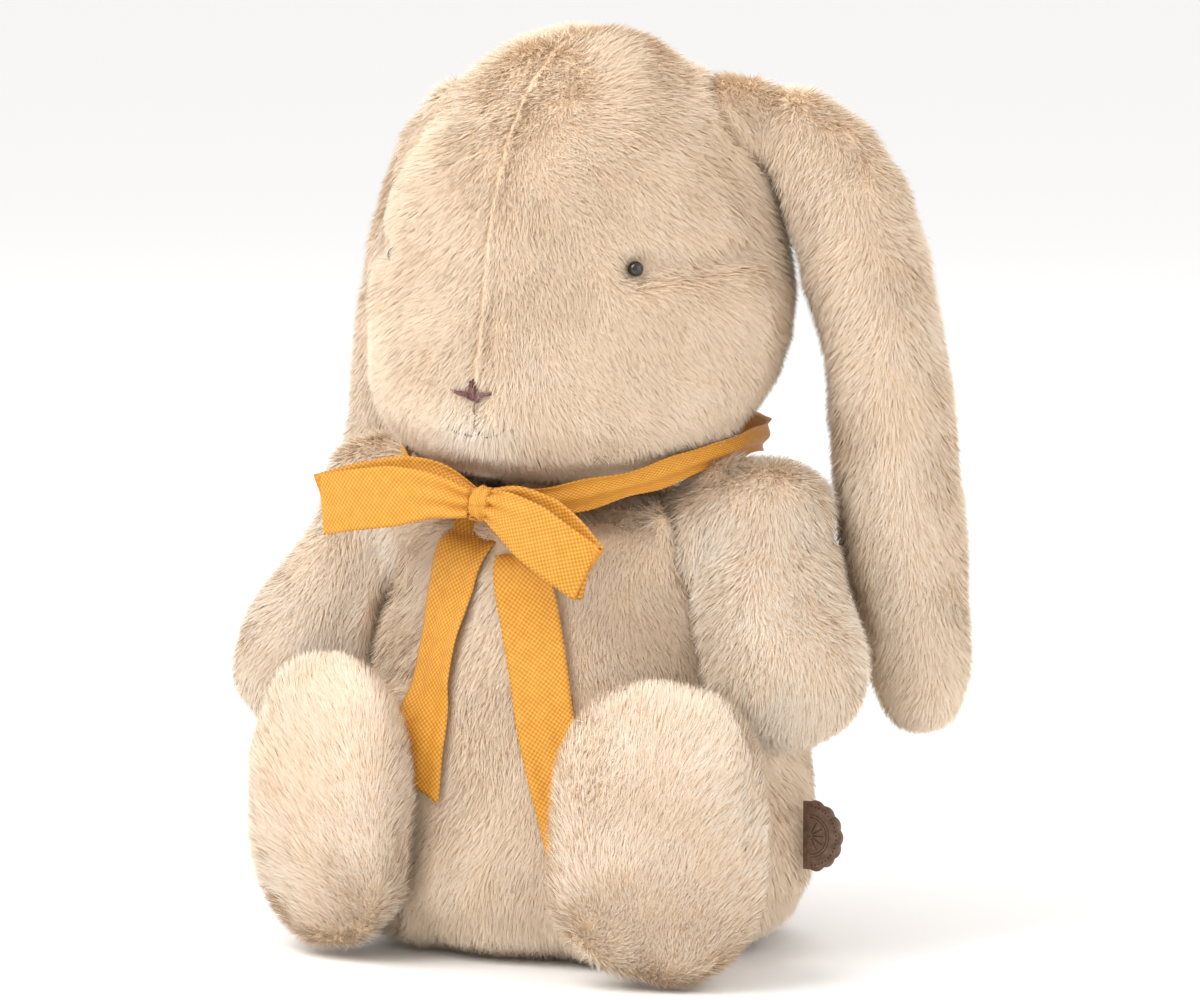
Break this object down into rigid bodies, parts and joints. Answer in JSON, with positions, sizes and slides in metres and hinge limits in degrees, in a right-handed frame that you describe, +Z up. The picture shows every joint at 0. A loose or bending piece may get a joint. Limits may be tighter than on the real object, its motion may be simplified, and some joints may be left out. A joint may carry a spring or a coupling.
{
  "type": "stuffed bunny rabbit",
  "caption": "Sitting plush lop-eared bunny with a stuffed head, body, arms and legs, long hanging ears, bead eyes, stitched nose, ribbon bow and a side tag.",
  "frame": {"origin": "centre of the flat seat the bunny rests on, in the plane of the floor", "axes": "+Z up, -Y the way the bunny faces, +X to the bunny's own left"},
  "size_m": [0.25, 0.1947, 0.3045],
  "materials": {
    "plush": "short dense pile plush, cream with a peach cast",
    "filling": "loose polyester fibre filling, inside",
    "ribbon": "plain woven golden yellow ribbon with a soft sheen",
    "bead": "glossy black moulded bead on a shank",
    "washer": "white moulded locking washer, inside",
    "nose_thread": "satin stitched burgundy brown embroidery thread",
    "mouth_thread": "grey brown embroidery thread",
    "tag": "brown embossed imitation leather with a dark cut edge"
  },
  "bodies": {
    "torso": {"body_front_panel": "plush", "body_back_panel": "plush", "body_base_panel": "plush", "body_stuffing": "filling", "bob_tail_skin": "plush", "bob_tail_stuffing": "filling", "ribbon_neckband": "ribbon", "bow_knot": "ribbon", "bow_loop_left": "ribbon", "bow_loop_right": "ribbon", "bow_tail_left": "ribbon", "bow_tail_right": "ribbon"},
    "head": {"head_panel_left": "plush", "head_panel_right": "plush", "head_stuffing": "filling", "eye_left": "bead", "eye_right": "bead", "eye_washer_left": "washer", "eye_washer_right": "washer", "nose_embroidery": "nose_thread", "mouth_stitch": "mouth_thread"},
    "ear_left": {"ear_left_outer": "plush", "ear_left_lining": "plush", "ear_left_padding": "filling"},
    "arm_left": {"arm_left_outer_panel": "plush", "arm_left_inner_panel": "plush", "arm_left_stuffing": "filling"},
    "leg_left": {"foot_left_sole": "plush", "leg_left_skin": "plush", "leg_left_stuffing": "filling"},
    "ear_right": {"ear_right_outer": "plush", "ear_right_lining": "plush", "ear_right_padding": "filling"},
    "arm_right": {"arm_right_outer_panel": "plush", "arm_right_inner_panel": "plush", "arm_right_stuffing": "filling"},
    "leg_right": {"foot_right_sole": "plush", "leg_right_skin": "plush", "leg_right_stuffing": "filling"},
    "tag": {"side_tag": "tag"}
  },
  "joints": [
    {"name": "head_nod", "type": "hinge", "parent": "torso", "child": "head", "pos_m": [0, 0, 0.14], "axis": [1, 0, 0], "range_deg": [-6, 4], "stiffness_Nm_per_rad": 0.6},
    {"name": "ear_left_lift", "type": "hinge", "parent": "head", "child": "ear_left", "pos_m": [0.045, 0.024, 0.27], "axis": [0, -1, 0], "range_deg": [0, 80]},
    {"name": "arm_left_lift", "type": "hinge", "parent": "torso", "child": "arm_left", "pos_m": [0.06028, -0.007, 0.135], "axis": [-0.5, -0.866, 0], "range_deg": [0, 40]},
    {"name": "leg_left_splay", "type": "hinge", "parent": "torso", "child": "leg_left", "pos_m": [0.047, -0.04181, 0.0248], "axis": [0, 0, 1], "range_deg": [0, 12], "stiffness_Nm_per_rad": 0.05},
    {"name": "ear_right_lift", "type": "hinge", "parent": "head", "child": "ear_right", "pos_m": [-0.045, 0.024, 0.27], "axis": [0, 1, 0], "range_deg": [0, 80]},
    {"name": "arm_right_lift", "type": "hinge", "parent": "torso", "child": "arm_right", "pos_m": [-0.06028, -0.007, 0.135], "axis": [-0.5, 0.866, 0], "range_deg": [0, 40]},
    {"name": "leg_right_splay", "type": "hinge", "parent": "torso", "child": "leg_right", "pos_m": [-0.047, -0.04181, 0.0248], "axis": [0, 0, -1], "range_deg": [0, 12], "stiffness_Nm_per_rad": 0.05},
    {"name": "tag_flap", "type": "hinge", "parent": "torso", "child": "tag", "pos_m": [0.08025, 0.008, 0.039], "axis": [0, 0, 1], "range_deg": [-30, 30], "stiffness_Nm_per_rad": 0.0005}
  ]
}
